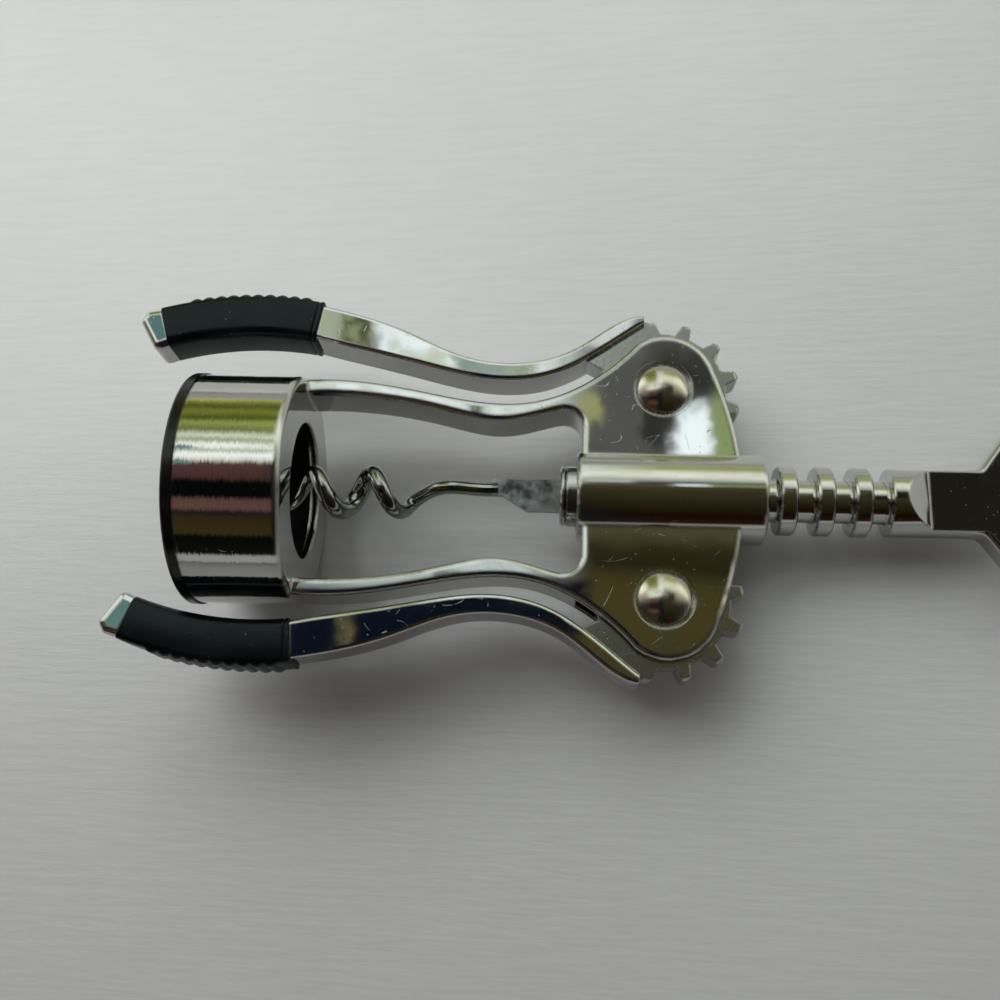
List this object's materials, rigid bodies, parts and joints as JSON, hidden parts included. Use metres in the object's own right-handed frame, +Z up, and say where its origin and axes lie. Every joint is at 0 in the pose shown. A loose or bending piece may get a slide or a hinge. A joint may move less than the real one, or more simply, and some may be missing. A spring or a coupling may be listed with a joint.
{
  "type": "wing corkscrew",
  "caption": "Wing corkscrew: bell on a wine bottle's neck, worm on a ring-rack spindle raised by geared levers with ribbed rubber grips, and a ring head that opens crown caps.",
  "frame": {"origin": "centre of the lying corkscrew's footprint box, on the table that the bell's edge and the head's end rest on", "axes": "+X from the bell's mouth towards the head along the table, +Y towards the upper lever, +Z up from the table"},
  "size_m": [0.1836, 0.0652, 0.0399],
  "materials": {
    "chrome_plate": "bright chrome plate over a zinc casting",
    "steel_ring": "bright plated steel",
    "rivet_steel": "bright plated steel",
    "steel_wire": "bare drawn steel wire",
    "black_plastic": "glossy moulded plastic",
    "black_rubber": "soft-touch matte"
  },
  "bodies": {
    "frame": {"frame_casting": "chrome_plate", "bell_liner": "black_plastic", "upper_rivet": "rivet_steel", "lower_rivet": "rivet_steel", "upper_rivet_cap": "rivet_steel", "lower_rivet_cap": "rivet_steel"},
    "collar": {"retaining_collar": "steel_ring"},
    "spindle": {"spindle": "chrome_plate", "worm": "steel_wire"},
    "upper_lever": {"upper_lever": "chrome_plate", "upper_grip": "black_rubber"},
    "lower_lever": {"lower_lever": "chrome_plate", "lower_grip": "black_rubber"}
  },
  "joints": [
    {"name": "upper_lever_pivot", "type": "hinge", "parent": "frame", "child": "upper_lever", "pos_m": [-0.00206, 0.01598, 0.0125], "axis": [-0.1073, 0, -0.9942], "range_deg": [0, 126]},
    {"name": "lower_lever_pivot", "type": "hinge", "parent": "frame", "child": "lower_lever", "pos_m": [-0.00206, -0.01922, 0.0125], "axis": [0.1073, 0, 0.9942], "range_deg": [0, 126]},
    {"name": "rack_slide", "type": "slide", "parent": "frame", "child": "collar", "axis": [-0.9942, 0, 0.1073], "range_m": [0, 0.027]},
    {"name": "spindle_turn", "type": "hinge", "parent": "collar", "child": "spindle", "pos_m": [-0.01667, -0.00162, 0.01408], "axis": [0.9942, 0, -0.1073], "continuous": true}
  ],
  "couplings": [
    {"joint": "lower_lever_pivot", "follows": "upper_lever_pivot", "ratio": 1},
    {"joint": "rack_slide", "follows": "upper_lever_pivot", "m_per_rad": 0.012249}
  ]
}
